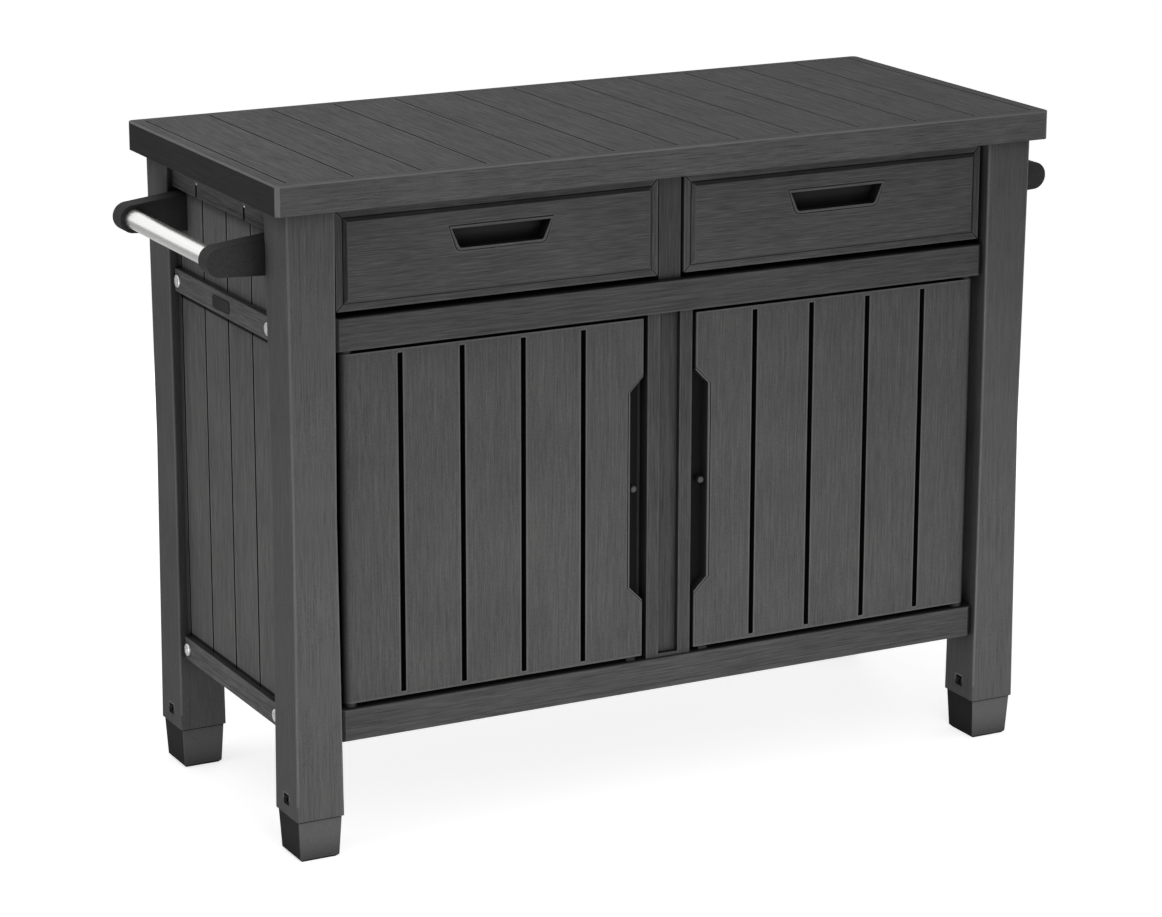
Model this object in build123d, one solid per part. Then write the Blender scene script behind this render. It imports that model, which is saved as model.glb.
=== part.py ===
from build123d import *
import os

# Outdoor buffet cabinet in moulded resin: a boarded worktop on four waisted legs,
# two drawers over two hinged doors, and a towel-rail handle at each end.
# Millimetres, +Z up, front towards -Y, origin on the floor under the middle of the top.

# Overall size
HEIGHT = 968.0
TOP_WIDTH = 1230.0
TOP_DEPTH = 543.0
TOP_THICKNESS = 42.0
SIDE_OVERHANG = 21.0
FRONT_OVERHANG = 17.0

# Clearances
FIT = 0.3
RUNNING_FIT = 0.1
PRESS_FIT = 0.05

# Worktop
TOP_SKIN = 5.0
TOP_WALL = 4.0
TOP_RIB = 3.0
TOP_CORNER_RADIUS = 9.0
TOP_EDGE_RADIUS = 1.5
TOP_BOARDS = 12
TOP_LONG_CELLS = 10
TOP_CROSS_CELLS = 4
RIM_SIDE = 22.0
RIM_FRONT = 18.5
BOARD_LINE_WIDTH = 1.8
BOARD_LINE_DEPTH = 1.5
SCREW_BOSS_RADIUS = 6.0

# Legs and feet
LEG_WIDTH = 71.5
LEG_DEPTH = 77.5
LEG_WAIST = 2.7
LEG_EDGE_RADIUS = 2.5
LEG_OUTER_WALL = 4.0
LEG_JOINT_WALL = 11.0
LEG_CAP = 5.0
WINDOW_WIDTH = 18.0
WINDOW_HEIGHT = 15.5
WINDOW_RISE = 15.5
FOOT_HEIGHT = 62.0
FOOT_INSET = 2.6
FOOT_TAPER = 3.1
FOOT_CORNER_RADIUS = 2.0
FOOT_BEVEL = 3.5
FOOT_WALL = 3.0
FOOT_BASE = 6.0
SPIGOT_HEIGHT = 48.0
TAB_CLEARANCE = 1.2
TAB_RECESS = 1.5
TAB_RAMP = 3.0
TAB_POCKET = 7.0
TAB_POCKET_DEPTH = 3.0

# Rails across the front and along the floor at the back
RAIL_SETBACK = 6.0
RAIL_HEIGHT = 46.5
RAIL_DEPTH = 40.0
RAIL_WALL = 4.0
RAIL_RIB = 3.0
RAIL_CELLS = 8
RAIL_END_WALL = 7.0
RAIL_END_SLOPE = 8.0
RAIL_EDGE_RADIUS = 2.5
TENON_LENGTH = 7.0
TENON_MARGIN = 8.0
FLOOR_CLEARANCE = 166.0
DRAWER_BAY_HEIGHT = 154.0

# Boarded panels and the rails laid over them
PANEL_SETBACK = 15.5
PANEL_THICKNESS = 8.0
PANEL_ENTRY = 6.0
PANEL_BOARD = 86.7
PANEL_LINE_WIDTH = 4.5
PANEL_LINE_DEPTH = 5.0
SIDE_RAIL_THICKNESS = 9.0
SIDE_RAIL_HEIGHT = 34.0
SIDE_RAIL_EDGE_RADIUS = 2.0
LOWER_RAIL_LIFT = 2.0
UPPER_RAIL_HEIGHT = 41.5
NOTCH_WIDTH = 8.0
NOTCH_HEIGHT = 21.5
NOTCH_DEPTH = 7.5
NOTCH_OFFSET = 86.7
REAR_NOTCH_OFFSET = 260.0

# Fasteners
BOLT_RADIUS = 3.0
BOLT_HEAD_RADIUS = 9.5
BOLT_HEAD_HEIGHT = 3.0
BOLT_EDGE_RADIUS = 1.5
BOLT_SOCKET = 5.0
BOLT_SOCKET_DEPTH = 2.0
BOLT_END_DISTANCE = 13.0
NUT_RADIUS = 4.5
NUT_FLANGE_RADIUS = 8.0
NUT_FLANGE = 2.0
SCREW_RADIUS = 2.0
SCREW_HEAD_RADIUS = 3.6
SCREW_HEAD_HEIGHT = 2.5
SCREW_BITE = 18.0
SCREW_CORE_GAP = 1.0

# Doors
DOOR_SETBACK = 12.0
DOOR_TOP_GAP = 5.5
DOOR_BOTTOM_GAP = 6.5
DOOR_LEG_GAP = 13.0
DOOR_STILE_GAP = 6.5
DOOR_MOULDING = 19.0
DOOR_COVER = 3.0
DOOR_SKIN = 4.0
DOOR_WALL = 3.0
DOOR_EDGE_RADIUS = 1.5
FIRST_BOARD = 96.5
DOOR_BOARD = 94.5
DOOR_SLOTS = 4
SLOT_WIDTH = 8.0
SLOT_END = 6.0
SCOOP_HEIGHT = 332.0
SCOOP_DEPTH = 21.0
SCOOP_RIM = 3.0
SCOOP_RIM_FALL = 1.0
SCOOP_LINE = 0.9
PEG_RADIUS = 5.0
PEG_LENGTH = 15.0
PEG_INSET = 12.5
PIN_RADIUS = 4.0
PIN_GRIP = 28.0
PIN_REACH = 12.0
COLLAR_RADIUS = 10.0
PIVOT_BOSS_RADIUS = 9.0
CATCH_LENGTH = 14.0
CATCH_WIDTH = 8.0
CATCH_BEVEL = 2.0
CATCH_OFFSET = 17.0

# Centre stile between the doors and divider between the drawers
STILE_WIDTH = 72.0
STILE_RECESS_WIDTH = 32.0
STILE_RECESS = 8.0
STILE_WALL = 3.0
STILE_SILL = 5.0
STILE_FLANGE = 22.0
STOP_GAP = 0.5
DIVIDER_WIDTH = 35.0
DIVIDER_SETBACK = 3.5
DIVIDER_WEB = 7.0
DIVIDER_RIB = 4.0
DIVIDER_CELLS = 4

# Drawers
DRAWER_BOTTOM_GAP = 8.0
DRAWER_TOP_GAP = 6.0
DRAWER_LEG_GAP = 6.0
DRAWER_DIVIDER_GAP = 3.5
DRAWER_FRONT = 24.0
DRAWER_WALL = 3.0
DRAWER_RIB = 3.0
FRAME_WIDTH = 10.5
FIELD_BEVEL = 5.3
FIELD_RISE = 5.0
MITRE_ANGLE = 45.0
MITRE_WIDTH = 1.0
MITRE_DEPTH = 1.2
PULL_TOP_WIDTH = 160.0
PULL_BOTTOM_WIDTH = 135.0
PULL_HEIGHT = 35.0
PULL_RIM = 3.5
PULL_RIM_RISE = 0.6
PULL_LINE = 1.2
PULL_CORNER_RADIUS = 9.0
PULL_DEPTH = 22.6
PULL_RISE = 16.0
PULL_UNDERCUT = 6.0
DRAWER_BACK_GAP = 29.1
DRAWER_HEIGHT = 120.0
DRAWER_LIFT = 8.0
FLANGE_WIDTH = 13.0
FLANGE_THICKNESS = 4.0
FLANGE_SIDE_GAP = 1.0
RUNNER_LEDGE = 4.0
RUNNER_LEDGE_WIDTH = 11.0
RUNNER_HEIGHT = 26.0
RUNNER_SETBACK = 41.0
RUNNER_BACK_GAP = 14.0
SCREW_INSET = 60.0

# Inside shelf and floor
SHELF_HEIGHT = 462.0
SHELF_SETBACK = 47.0
TRAY_THICKNESS = 14.0
TRAY_SKIN = 4.0
TRAY_WALL = 4.0
TRAY_RIB = 3.0
TRAY_LONG_CELLS = 10
TRAY_CROSS_CELLS = 4
CLEAT_WIDTH = 16.0
CLEAT_HEIGHT = 14.0

# Handles
HANDLE_REACH = 81.0
HANDLE_DROP = 76.0
ARM_THICKNESS = 32.0
ARM_END_RADIUS = 20.5
ARM_BASE_UP = 30.0
ARM_BASE_DOWN = 24.5
ARM_EDGE_RADIUS = 1.5
TUBE_RADIUS = 14.0
TUBE_WALL = 1.5
TUBE_SOCKET = 13.0
ARM_SCREW_SPACING = 26.0

# Levels
UNDERSIDE = HEIGHT - TOP_THICKNESS
WAIST_LEVEL = (FOOT_HEIGHT + UNDERSIDE) / 2
MID_RAIL_TOP = UNDERSIDE - DRAWER_BAY_HEIGHT
MID_RAIL_BOTTOM = MID_RAIL_TOP - RAIL_HEIGHT
LOW_RAIL_TOP = FLOOR_CLEARANCE + RAIL_HEIGHT
SIDE_MID_RAIL = MID_RAIL_BOTTOM + (RAIL_HEIGHT - SIDE_RAIL_HEIGHT) / 2
SIDE_LOW_RAIL = FLOOR_CLEARANCE + (RAIL_HEIGHT - SIDE_RAIL_HEIGHT) / 2 + LOWER_RAIL_LIFT
PANEL_BOTTOM = SIDE_LOW_RAIL
DOOR_TOP = MID_RAIL_BOTTOM - DOOR_TOP_GAP
DOOR_BOTTOM = LOW_RAIL_TOP + DOOR_BOTTOM_GAP
DOOR_MIDDLE = (DOOR_TOP + DOOR_BOTTOM) / 2
DRAWER_TOP = UNDERSIDE - DRAWER_TOP_GAP
DRAWER_BOTTOM = MID_RAIL_TOP + DRAWER_BOTTOM_GAP
PULL_LEVEL = (DRAWER_TOP + DRAWER_BOTTOM) / 2 + PULL_RISE
BOX_BOTTOM = DRAWER_BOTTOM + DRAWER_LIFT
HANDLE_LEVEL = UNDERSIDE - HANDLE_DROP

# Leg positions, and half sizes at the waist
LEG_X = TOP_WIDTH / 2 - SIDE_OVERHANG - LEG_WIDTH / 2
LEG_Y = TOP_DEPTH / 2 - FRONT_OVERHANG - LEG_DEPTH / 2
WAIST_X = LEG_WIDTH / 2 - LEG_WAIST
WAIST_Y = LEG_DEPTH / 2 - LEG_WAIST

# Depths, counted from the waist of the legs
LEG_FRONT = -(LEG_Y + WAIST_Y)
RAIL_FRONT = LEG_FRONT + RAIL_SETBACK
DOOR_FRONT = LEG_FRONT + DOOR_SETBACK
DOOR_THICKNESS = DOOR_MOULDING + DOOR_COVER
COVER_FRONT = DOOR_FRONT + DOOR_MOULDING
DOOR_BACK = DOOR_FRONT + DOOR_THICKNESS
DIVIDER_FRONT = DOOR_FRONT + DIVIDER_SETBACK
DRAWER_BACKING = DOOR_FRONT + DRAWER_FRONT
PANEL_OUT = LEG_X + WAIST_X - PANEL_SETBACK
PANEL_IN = PANEL_OUT - PANEL_THICKNESS
SIDE_RAIL_OUT = PANEL_OUT + SIDE_RAIL_THICKNESS
SIDE_PANEL_END = LEG_Y - WAIST_Y + PANEL_ENTRY
BACK_OUT = LEG_Y + WAIST_Y - PANEL_SETBACK
BACK_IN = BACK_OUT - PANEL_THICKNESS
BACK_PANEL_END = LEG_X - WAIST_X + PANEL_ENTRY

# Door and drawer widths
DOOR_INNER = STILE_WIDTH / 2 + DOOR_STILE_GAP
DOOR_OUTER = LEG_X - WAIST_X - DOOR_LEG_GAP
PIVOT_RADIUS = DOOR_THICKNESS / 2
PIVOT_X = DOOR_OUTER - PIVOT_RADIUS
PIVOT_Y = DOOR_FRONT + PIVOT_RADIUS
SLOT_X = [DOOR_INNER + FIRST_BOARD + i * DOOR_BOARD for i in range(DOOR_SLOTS)]


def leg_flare(level):
    """How far a leg's faces stand out beyond its waist at a level."""
    return LEG_WAIST * abs(level - WAIST_LEVEL) / (UNDERSIDE - WAIST_LEVEL)


def between_legs_x(low, high):
    """Half the clear width between the legs over a range of levels."""
    return LEG_X - WAIST_X - max(leg_flare(low), leg_flare(high)) - FIT


def between_legs_y(low, high):
    """Half the clear depth between the legs over a range of levels."""
    return LEG_Y - WAIST_Y - max(leg_flare(low), leg_flare(high)) - FIT


DRAWER_INNER = DIVIDER_WIDTH / 2 + DRAWER_DIVIDER_GAP
DRAWER_OUTER = between_legs_x(DRAWER_BOTTOM, DRAWER_TOP) + FIT - DRAWER_LEG_GAP
DRAWER_X = (DRAWER_INNER + DRAWER_OUTER) / 2
FLANGE_INNER = DIVIDER_WIDTH / 2 + RUNNER_LEDGE + FLANGE_SIDE_GAP
FLANGE_OUTER = 2 * DRAWER_X - FLANGE_INNER
SCREW_COLUMN = 4 * SCREW_RADIUS + 2 * DRAWER_RIB


def block(x0, x1, y0, y1, z0, z1):
    """A box between two corners, given in any order."""
    size = Box(abs(x1 - x0), abs(y1 - y0), abs(z1 - z0))
    return Pos((x0 + x1) / 2, (y0 + y1) / 2, (z0 + z1) / 2) * size


def rod_z(x, y, z0, z1, radius):
    """An upright cylinder."""
    return Pos(x, y, (z0 + z1) / 2) * Cylinder(radius, abs(z1 - z0))


def rod_y(x, y0, y1, z, radius):
    """A cylinder lying along Y."""
    return Pos(x, (y0 + y1) / 2, z) * Rot(90, 0, 0) * Cylinder(radius, abs(y1 - y0))


def rod_x(x0, x1, y, z, radius):
    """A cylinder lying along X."""
    return Pos((x0 + x1) / 2, y, z) * Rot(0, 90, 0) * Cylinder(radius, abs(x1 - x0))


def cells(low, high, count, rib):
    """Pairs of limits that divide a length into equal cells with ribs between them."""
    width = (high - low - (count - 1) * rib) / count
    return [(low + i * (width + rib), low + i * (width + rib) + width) for i in range(count)]


def save(name, shape):
    export_step(shape, f"parts/{name}.step")


def save_pair(name, right):
    """Writes a right-hand piece and its left-hand mirror image."""
    save(f"{name}_right", right)
    save(f"{name}_left", mirror(right, about=Plane.YZ))


def group(solids):
    return Compound(children=list(solids))


# Worktop

def rib_lines(inner, outer, count):
    """Rib centres from wall to wall, with one over each leg and even cells between."""
    between = [-inner + i * 2 * inner / count for i in range(count + 1)]
    return [-outer] + between + [outer]


def table_top():
    outline = RectangleRounded(TOP_WIDTH, TOP_DEPTH, TOP_CORNER_RADIUS)
    top = extrude(Pos(0, 0, UNDERSIDE) * outline, TOP_THICKNESS)
    top = fillet(top.faces().sort_by(Axis.Z)[-1].edges(), TOP_EDGE_RADIUS)
    half = TOP_RIB / 2
    xs = rib_lines(LEG_X, TOP_WIDTH / 2 - TOP_WALL + half, TOP_LONG_CELLS)
    ys = rib_lines(LEG_Y, TOP_DEPTH / 2 - TOP_WALL + half, TOP_CROSS_CELLS)
    hollow = [
        block(x0 + half, x1 - half, y0 + half, y1 - half, UNDERSIDE, HEIGHT - TOP_SKIN)
        for x0, x1 in zip(xs, xs[1:])
        for y0, y1 in zip(ys, ys[1:])
    ]
    top -= hollow
    for x, y in top_screw_places():
        top += rod_z(x, y, UNDERSIDE, HEIGHT - TOP_SKIN, SCREW_BOSS_RADIUS)
        top -= rod_z(x, y, UNDERSIDE, UNDERSIDE + SCREW_BITE + SCREW_CORE_GAP, SCREW_RADIUS + PRESS_FIT)
    return top - board_lines()


def board_lines():
    """Shallow lines that part the boards from each other and from the rim."""
    half_x = TOP_WIDTH / 2 - RIM_SIDE
    half_y = TOP_DEPTH / 2 - RIM_FRONT
    line = BOARD_LINE_WIDTH / 2
    z0 = HEIGHT - BOARD_LINE_DEPTH
    pitch = 2 * half_x / TOP_BOARDS
    lines = [block(-half_x + i * pitch - line, -half_x + i * pitch + line, -half_y, half_y, z0, HEIGHT)
             for i in range(TOP_BOARDS + 1)]
    for y in (-half_y, half_y):
        lines.append(block(-half_x - line, half_x + line, y - line, y + line, z0, HEIGHT))
    return lines


# Legs and feet

def leg_pocket(side, margin):
    """Limits in X and Y of the hollow in a right-hand leg, drawn in by a margin."""
    x0 = LEG_X - WAIST_X + LEG_JOINT_WALL + margin
    x1 = LEG_X + WAIST_X - LEG_OUTER_WALL - margin
    y0 = LEG_Y - WAIST_Y + LEG_JOINT_WALL + margin
    y1 = LEG_Y + WAIST_Y - LEG_OUTER_WALL - margin
    return x0, x1, side * y0, side * y1


def window_limits(clearance):
    """Lower and upper level of the snap window in a leg, drawn in by a clearance."""
    low = FOOT_HEIGHT + WINDOW_RISE
    return low + clearance, low + WINDOW_HEIGHT - clearance


def leg(side):
    """A right-hand leg: side is -1 at the front and 1 at the back."""
    sections = []
    for level in (FOOT_HEIGHT, WAIST_LEVEL, UNDERSIDE):
        flare = leg_flare(level)
        outline = RectangleRounded(2 * (WAIST_X + flare), 2 * (WAIST_Y + flare), LEG_EDGE_RADIUS)
        sections.append(Pos(LEG_X, side * LEG_Y, level) * outline)
    body = loft(sections, ruled=True)
    body -= block(*leg_pocket(side, 0), FOOT_HEIGHT, UNDERSIDE - LEG_CAP)
    low, high = window_limits(0)
    y = side * LEG_Y
    body -= block(LEG_X - LEG_WIDTH, LEG_X + LEG_WIDTH, y - WINDOW_WIDTH / 2, y + WINDOW_WIDTH / 2, low, high)
    body -= block(PANEL_IN - FIT, PANEL_OUT + FIT, side * (LEG_Y - LEG_DEPTH),
                  side * (SIDE_PANEL_END + FIT), PANEL_BOTTOM - FIT, UNDERSIDE)
    if side < 0:
        for level in (FLOOR_CLEARANCE, MID_RAIL_BOTTOM):
            body -= tenon(RAIL_FRONT, level, FIT)
    else:
        body -= block(LEG_X - LEG_WIDTH, BACK_PANEL_END + FIT, BACK_IN - FIT, BACK_OUT + FIT,
                      PANEL_BOTTOM - FIT, UNDERSIDE)
        body -= mirror(tenon(-BACK_IN, FLOOR_CLEARANCE, FIT), about=Plane.XZ)
    return body


def snap_tab(x_root, outward, y):
    """A tab on the foot that springs into a window of the leg, with a pocket to press it in by."""
    low, high = window_limits(TAB_CLEARANCE)
    x_tip = LEG_X + outward * (WAIST_X + leg_flare(high) - TAB_RECESS)
    profile = Polyline((x_root, low), (x_tip, low), (x_tip, high - TAB_RAMP), (x_root, high), close=True)
    face = Plane.XZ * make_face(profile)
    width = WINDOW_WIDTH - 2 * TAB_CLEARANCE
    tab = Pos(0, y, 0) * extrude(face, width / 2, both=True)
    middle = (low + high - TAB_RAMP) / 2
    half = TAB_POCKET / 2
    pocket_floor = x_tip - outward * TAB_POCKET_DEPTH
    return tab - block(pocket_floor, x_tip, y - half, y + half, middle - half, middle + half)


def foot(side):
    """The tapered foot of a right-hand leg, with the spigot that snaps into it."""
    y = side * LEG_Y
    half_x = LEG_WIDTH / 2 - FOOT_INSET
    half_y = LEG_DEPTH / 2 - FOOT_INSET
    sections = []
    for level, inset in ((0, FOOT_TAPER + FOOT_BEVEL), (FOOT_BEVEL, FOOT_TAPER), (FOOT_HEIGHT, 0)):
        outline = RectangleRounded(2 * (half_x - inset), 2 * (half_y - inset), FOOT_CORNER_RADIUS)
        sections.append(Pos(LEG_X, y, level) * outline)
    body = loft(sections, ruled=True)
    x0, x1, y0, y1 = leg_pocket(side, FIT)
    top = FOOT_HEIGHT + SPIGOT_HEIGHT
    body += block(x0, x1, y0, y1, FOOT_HEIGHT, top)
    body -= block(*leg_pocket(side, FIT + FOOT_WALL), FOOT_BASE, top)
    body += snap_tab(x0 + FOOT_WALL / 2, -1, y)
    return body + snap_tab(x1 - FOOT_WALL / 2, 1, y)


# Rails across the front and along the floor at the back

def rail_half(level):
    return between_legs_x(level, level + RAIL_HEIGHT)


def tenon(face, level, clearance):
    """The stub that a rail pushes into the right-hand leg, grown by a clearance."""
    end = rail_half(level)
    return block(end - FIT, end + TENON_LENGTH + clearance, face + TENON_MARGIN - clearance,
                 face + RAIL_DEPTH - TENON_MARGIN + clearance, level + TENON_MARGIN - clearance,
                 level + RAIL_HEIGHT - TENON_MARGIN + clearance)


def channel_rail(face, level):
    """A rail with sloped ends, open and ribbed at the back, with a tenon at each end."""
    half = rail_half(level)
    back = face + RAIL_DEPTH
    slope = RAIL_SETBACK
    outline = Polyline((-half, face + slope), (-half + RAIL_END_SLOPE, face), (half - RAIL_END_SLOPE, face),
                       (half, face + slope), (half, back), (-half, back), close=True)
    rail = extrude(Pos(0, 0, level) * make_face(outline), RAIL_HEIGHT)
    front = rail.faces().sort_by(Axis.Y)[0]
    rail = fillet(front.edges().filter_by(Axis.X), RAIL_EDGE_RADIUS)
    rail -= [block(x0, x1, face + RAIL_WALL, back, level + RAIL_WALL, level + RAIL_HEIGHT - RAIL_WALL)
             for x0, x1 in cells(-half + RAIL_END_WALL, half - RAIL_END_WALL, RAIL_CELLS, RAIL_RIB)]
    stub = tenon(face, level, 0)
    return rail + stub + mirror(stub, about=Plane.YZ)


def pivot_hole(rail, level, up):
    """Adds a boss and a bore for each door's pivot pin to a flange of a rail."""
    for x in (-PIVOT_X, PIVOT_X):
        rail += rod_z(x, PIVOT_Y, level, level + up * (PIN_REACH + FIT), PIVOT_BOSS_RADIUS)
        rail -= rod_z(x, PIVOT_Y, level, level + up * (PIN_REACH + FIT), PIN_RADIUS + RUNNING_FIT)
    return rail


# Boarded panels

def side_panel():
    """The right-hand side: boards parted by lines on the outside, let into the legs."""
    panel = block(PANEL_IN, PANEL_OUT, -SIDE_PANEL_END, SIDE_PANEL_END, PANEL_BOTTOM, UNDERSIDE)
    for y in board_centres(SIDE_PANEL_END):
        panel -= block(PANEL_OUT - PANEL_LINE_DEPTH, PANEL_OUT, y - PANEL_LINE_WIDTH / 2,
                       y + PANEL_LINE_WIDTH / 2, PANEL_BOTTOM, UNDERSIDE)
    for y, z in bolt_places():
        panel -= rod_x(PANEL_IN, PANEL_OUT, y, z, NUT_RADIUS + FIT)
    for y, z in arm_screw_places():
        panel -= rod_x(PANEL_IN, PANEL_OUT, y, z, SCREW_RADIUS + FIT)
    return panel


def back_panel():
    panel = block(-BACK_PANEL_END, BACK_PANEL_END, BACK_IN, BACK_OUT, PANEL_BOTTOM, UNDERSIDE)
    for x in board_centres(BACK_PANEL_END):
        panel -= block(x - PANEL_LINE_WIDTH / 2, x + PANEL_LINE_WIDTH / 2, BACK_OUT - PANEL_LINE_DEPTH,
                       BACK_OUT, PANEL_BOTTOM, UNDERSIDE)
    return panel


def board_centres(half):
    """Places of the lines between boards, from the middle outwards."""
    count = int((half - PANEL_ENTRY - PANEL_LINE_WIDTH) / PANEL_BOARD)
    return [i * PANEL_BOARD for i in range(-count, count + 1)]


# Rails laid over the panels

def bolt_places():
    """Y and Z of the bolts that clamp the side rails to a side panel."""
    places = []
    for level in (SIDE_MID_RAIL, SIDE_LOW_RAIL):
        y = between_legs_y(level, level + SIDE_RAIL_HEIGHT) - BOLT_END_DISTANCE
        places += [(side * y, level + SIDE_RAIL_HEIGHT / 2) for side in (-1, 1)]
    return places


def side_rail(level):
    """A plain right-hand side rail, bolted through the panel near both ends."""
    half = between_legs_y(level, level + SIDE_RAIL_HEIGHT)
    rail = block(PANEL_OUT, SIDE_RAIL_OUT, -half, half, level, level + SIDE_RAIL_HEIGHT)
    rail = fillet(rail.faces().sort_by(Axis.X)[-1].edges(), SIDE_RAIL_EDGE_RADIUS)
    for y, z in bolt_places():
        rail -= rod_x(PANEL_OUT, SIDE_RAIL_OUT, y, z, BOLT_RADIUS + FIT)
    return rail


def upper_rail(half, notches):
    """A rail under the worktop, along Y against X = 0, with screw notches open below."""
    low = UNDERSIDE - UPPER_RAIL_HEIGHT
    rail = block(0, SIDE_RAIL_THICKNESS, -half, half, low, UNDERSIDE)
    edges = rail.faces().sort_by(Axis.X)[-1].edges().sort_by(Axis.Z)[0]
    rail = fillet(edges, SIDE_RAIL_EDGE_RADIUS)
    for y in notches:
        rail -= block(SIDE_RAIL_THICKNESS - NOTCH_DEPTH, SIDE_RAIL_THICKNESS, y - NOTCH_WIDTH / 2,
                      y + NOTCH_WIDTH / 2, low, low + NOTCH_HEIGHT)
        rail -= rod_z(screw_depth(), y, low + NOTCH_HEIGHT, UNDERSIDE, SCREW_RADIUS + FIT)
    return rail


def screw_depth():
    """Distance of an upright screw from the panel behind it."""
    return SIDE_RAIL_THICKNESS - NOTCH_DEPTH + NOTCH_DEPTH / 2


def side_upper_rail():
    half = between_legs_y(UNDERSIDE - UPPER_RAIL_HEIGHT, UNDERSIDE)
    return Pos(PANEL_OUT, 0, 0) * upper_rail(half, (-NOTCH_OFFSET, NOTCH_OFFSET))


def rear_upper_rail():
    half = between_legs_x(UNDERSIDE - UPPER_RAIL_HEIGHT, UNDERSIDE)
    return Pos(0, BACK_OUT, 0) * Rot(0, 0, 90) * upper_rail(half, (-REAR_NOTCH_OFFSET, REAR_NOTCH_OFFSET))


def top_screw_places():
    """X and Y of the upright screws that hold the worktop."""
    places = [(side * (PANEL_OUT + screw_depth()), y)
              for side in (-1, 1) for y in (-NOTCH_OFFSET, NOTCH_OFFSET)]
    return places + [(x, BACK_OUT + screw_depth()) for x in (-REAR_NOTCH_OFFSET, REAR_NOTCH_OFFSET)]


# Fasteners

def screw(length):
    """A pan-head screw along +Z, with the underside of its head at the origin."""
    head = Pos(0, 0, -SCREW_HEAD_HEIGHT / 2) * Cylinder(SCREW_HEAD_RADIUS, SCREW_HEAD_HEIGHT)
    return head + Pos(0, 0, length / 2) * Cylinder(SCREW_RADIUS, length)


def top_screws():
    seat = UNDERSIDE - UPPER_RAIL_HEIGHT + NOTCH_HEIGHT
    length = UNDERSIDE + SCREW_BITE - seat
    return group(Pos(x, y, seat) * screw(length) for x, y in top_screw_places())


def rail_bolt():
    """A low round-headed bolt along -X, with the underside of its head at the origin."""
    head = Pos(BOLT_HEAD_HEIGHT / 2, 0, 0) * Rot(0, 90, 0) * Cylinder(BOLT_HEAD_RADIUS, BOLT_HEAD_HEIGHT)
    head = fillet(head.faces().sort_by(Axis.X)[-1].edges(), BOLT_EDGE_RADIUS)
    hexagon = Plane.YZ * RegularPolygon(BOLT_SOCKET, 6, major_radius=False)
    head -= Pos(BOLT_HEAD_HEIGHT - BOLT_SOCKET_DEPTH, 0, 0) * extrude(hexagon, BOLT_SOCKET_DEPTH)
    return head + rod_x(-SIDE_RAIL_THICKNESS - PANEL_THICKNESS, 0, 0, 0, BOLT_RADIUS)


def sleeve_nut():
    """A flanged sleeve that fills the panel's hole and takes the bolt."""
    nut = rod_x(-PANEL_THICKNESS, 0, 0, 0, NUT_RADIUS)
    nut += rod_x(-PANEL_THICKNESS - NUT_FLANGE, -PANEL_THICKNESS, 0, 0, NUT_FLANGE_RADIUS)
    return nut - rod_x(-PANEL_THICKNESS, 0, 0, 0, BOLT_RADIUS + PRESS_FIT)


def on_both_sides(shape, x):
    """Copies of a right-hand fastener at every bolt place of both sides."""
    right = [Pos(x, y, z) * shape for y, z in bolt_places()]
    return group(right + [mirror(piece, about=Plane.YZ) for piece in right])


# Centre stile and drawer divider

def centre_stile():
    """A channel with a sunk middle, whose flanges stop the doors."""
    front = DOOR_FRONT
    back = DOOR_BACK + STOP_GAP
    half = STILE_WIDTH / 2
    recess = STILE_RECESS_WIDTH / 2
    sunk = front + STILE_RECESS
    wall = STILE_WALL
    right = [(0, sunk), (recess, sunk), (recess, front), (half, front), (half, back),
             (half + STILE_FLANGE, back), (half + STILE_FLANGE, back + wall), (half - wall, back + wall),
             (half - wall, front + wall), (recess + wall, front + wall), (recess + wall, sunk + wall),
             (0, sunk + wall)]
    face = make_face(Polyline(*right, close=True))
    half_stile = extrude(Pos(0, 0, LOW_RAIL_TOP) * face, MID_RAIL_BOTTOM - LOW_RAIL_TOP)
    sill = block(-recess, recess, front, sunk, LOW_RAIL_TOP, LOW_RAIL_TOP + STILE_SILL)
    return half_stile + mirror(half_stile, about=Plane.YZ) + sill


def drawer_divider():
    """An upright web with ribbed faces that carries the inner runners."""
    half = DIVIDER_WIDTH / 2
    wall = block(-half, half, DIVIDER_FRONT, BACK_IN, MID_RAIL_TOP, UNDERSIDE)
    start = DIVIDER_FRONT + DRAWER_FRONT
    for y0, y1 in cells(start, BACK_IN - DIVIDER_RIB, DIVIDER_CELLS, DIVIDER_RIB):
        for side in (-1, 1):
            wall -= block(side * DIVIDER_WEB / 2, side * half, y0, y1, MID_RAIL_TOP + DIVIDER_RIB,
                          UNDERSIDE - DIVIDER_RIB)
    return wall


# Floor and shelf

def tray(front, level, ledge):
    """A ribbed panel between the sides, notched round the legs, with its ribs below."""
    top = level + TRAY_THICKNESS
    side = PANEL_IN - ledge
    back = BACK_IN - FIT
    plate = block(-side, side, front, back, level, top)
    xs = cells(-side + TRAY_WALL, side - TRAY_WALL, TRAY_LONG_CELLS, TRAY_RIB)
    ys = cells(front + TRAY_WALL, back - TRAY_WALL, TRAY_CROSS_CELLS, TRAY_RIB)
    corner_x = between_legs_x(level, top)
    corner_y = between_legs_y(level, top)
    for x0, x1 in xs:
        for y0, y1 in ys:
            beside_leg = max(-x0, x1) > corner_x - TRAY_WALL and max(-y0, y1) > corner_y - TRAY_WALL
            if not beside_leg:
                plate -= block(x0, x1, y0, y1, level, top - TRAY_SKIN)
    for x in (-1, 1):
        for y in (-1, 1):
            plate -= block(x * corner_x, x * TOP_WIDTH, y * corner_y, y * TOP_DEPTH, level, top)
    return plate


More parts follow.
